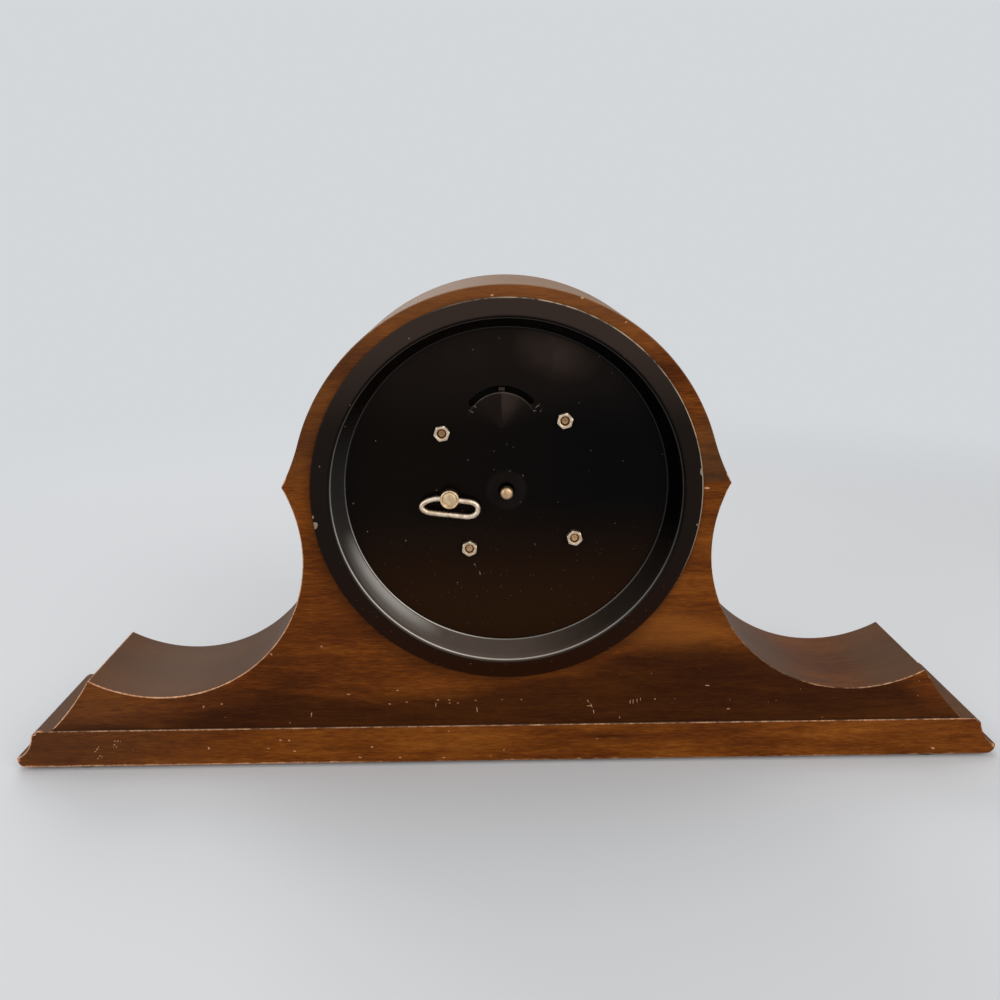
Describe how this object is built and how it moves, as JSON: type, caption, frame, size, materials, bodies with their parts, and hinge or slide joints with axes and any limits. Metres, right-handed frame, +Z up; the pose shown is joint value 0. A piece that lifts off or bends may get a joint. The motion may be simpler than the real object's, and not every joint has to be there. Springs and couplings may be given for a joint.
{
  "type": "tambour mantel clock",
  "caption": "Low wooden mantel clock with a round-topped body sweeping down to a moulded plinth, a round dial in front and a dished metal cover with a folding winding key behind.",
  "frame": {"origin": "middle of the bounding box in plan, on the plane of the felt pads' undersides", "axes": "+X to the right as the dial is faced, +Y from the dial to the back cover, +Z up"},
  "size_m": [0.381, 0.0594, 0.1845],
  "materials": {
    "walnut": "satin varnish, worn pale along the edges",
    "felt": "matt felt",
    "enamel": "glossy black",
    "nickel": "satin nickel plate, a little worn to brass",
    "steel": "plain turned steel",
    "blued": "blued steel",
    "brass": "plain brass",
    "gilt": "polished and lacquered brass",
    "paper": "matt cream print",
    "glass": "clear domed glass"
  },
  "bodies": {
    "case": {"case_body": "walnut", "plinth": "walnut", "plinth_screw_1": "steel", "plinth_screw_2": "steel", "felt_pad_1": "felt", "felt_pad_2": "felt", "felt_pad_3": "felt", "felt_pad_4": "felt", "back_cover": "enamel", "nut_1": "nickel", "nut_2": "nickel", "nut_3": "nickel", "nut_4": "nickel", "pillar_1": "brass", "pillar_2": "brass", "pillar_3": "brass", "pillar_4": "brass", "back_plate": "brass", "front_plate": "brass", "bezel": "gilt", "glass": "glass", "sight_ring": "gilt", "dial_plate": "brass", "dial_face": "paper", "click_screw": "steel", "click_spring": "steel", "minute_wheel_post": "steel", "balance_screw_front": "steel", "balance_screw_rear": "steel", "hairspring": "blued"},
    "winder": {"winding_arbor": "steel", "ratchet_wheel": "steel", "key_hub": "nickel"},
    "bail": {"key_bail": "nickel"},
    "barrel": {"barrel": "brass", "barrel_lid": "brass", "mainspring": "steel"},
    "intermediate": {"intermediate_wheel": "brass", "intermediate_pinion": "steel"},
    "centre": {"center_wheel": "brass", "center_pinion": "steel"},
    "third": {"third_wheel": "brass", "third_pinion": "steel"},
    "fourth": {"fourth_wheel": "brass", "fourth_pinion": "steel"},
    "escape": {"escape_wheel": "brass", "escape_pinion": "steel"},
    "hand_arbor": {"center_arbor": "nickel", "friction_spring": "steel", "cannon_pinion": "steel", "minute_hand": "blued", "hand_nut": "gilt"},
    "minute_work": {"minute_wheel": "brass"},
    "hour_work": {"hour_wheel": "brass", "hour_hand": "blued"},
    "pallet": {"pallet_lever": "steel"},
    "balance": {"balance_wheel": "brass", "balance_staff": "steel"},
    "regulator": {"regulator_lever": "steel"},
    "click": {"click": "steel"}
  },
  "joints": [
    {"name": "winding", "type": "hinge", "parent": "case", "child": "winder", "pos_m": [0.021, 0.02865, 0.1058], "axis": [0, -1, 0], "range_deg": [0, 1980]},
    {"name": "key_fold", "type": "hinge", "parent": "winder", "child": "bail", "pos_m": [0.02104, 0.0222, 0.1055], "axis": [0.9925, 0, 0.1219], "range_deg": [0, 180]},
    {"name": "fourth_spin", "type": "hinge", "parent": "case", "child": "fourth", "pos_m": [-0.01633, 0.02865, 0.11133], "axis": [0, 1, 0], "continuous": true},
    {"name": "third_spin", "type": "hinge", "parent": "case", "child": "third", "pos_m": [-0.01015, 0.02865, 0.10421], "axis": [0, 1, 0], "continuous": true},
    {"name": "centre_spin", "type": "hinge", "parent": "case", "child": "centre", "pos_m": [0, 0.02865, 0.1079], "axis": [0, 1, 0], "continuous": true},
    {"name": "intermediate_spin", "type": "hinge", "parent": "case", "child": "intermediate", "pos_m": [0.00424, 0.02865, 0.09633], "axis": [0, 1, 0], "continuous": true},
    {"name": "barrel_spin", "type": "hinge", "parent": "case", "child": "barrel", "pos_m": [0.021, 0.02865, 0.1058], "axis": [0, 1, 0], "continuous": true},
    {"name": "escape_spin", "type": "hinge", "parent": "case", "child": "escape", "pos_m": [-0.00983, 0.02865, 0.1166], "axis": [0, 1, 0], "continuous": true},
    {"name": "hand_setting", "type": "hinge", "parent": "case", "child": "hand_arbor", "pos_m": [0, 0.02865, 0.1079], "axis": [0, 1, 0], "continuous": true},
    {"name": "minute_wheel_spin", "type": "hinge", "parent": "case", "child": "minute_work", "pos_m": [0, 0.02865, 0.0979], "axis": [0, 1, 0], "continuous": true},
    {"name": "hour_spin", "type": "hinge", "parent": "case", "child": "hour_work", "pos_m": [0, 0.02865, 0.1079], "axis": [0, 1, 0], "continuous": true},
    {"name": "pallet_rock", "type": "hinge", "parent": "case", "child": "pallet", "pos_m": [-0.00527, 0.02865, 0.12243], "axis": [0, 1, 0], "range_deg": [-5, 5]},
    {"name": "balance_swing", "type": "hinge", "parent": "case", "child": "balance", "pos_m": [0.0015, 0.02865, 0.1311], "axis": [0, 1, 0], "range_deg": [-220, 220], "stiffness_Nm_per_rad": 0.000016},
    {"name": "regulator_shift", "type": "hinge", "parent": "case", "child": "regulator", "pos_m": [0.0015, 0.02865, 0.1311], "axis": [0, 1, 0], "range_deg": [-40, 40]},
    {"name": "click_lift", "type": "hinge", "parent": "case", "child": "click", "pos_m": [0.0265, 0.02865, 0.0988], "axis": [0, -1, 0], "range_deg": [0, 6], "stiffness_Nm_per_rad": 0.002}
  ],
  "couplings": [
    {"joint": "fourth_spin", "follows": "third_spin", "ratio": -7.5},
    {"joint": "escape_spin", "follows": "third_spin", "ratio": 60},
    {"joint": "centre_spin", "follows": "third_spin", "ratio": -0.125},
    {"joint": "intermediate_spin", "follows": "third_spin", "ratio": 0.020833},
    {"joint": "barrel_spin", "follows": "third_spin", "ratio": -0.0034722},
    {"joint": "minute_wheel_spin", "follows": "hand_setting", "ratio": -0.33333},
    {"joint": "hour_spin", "follows": "hand_setting", "ratio": 0.083333}
  ]
}
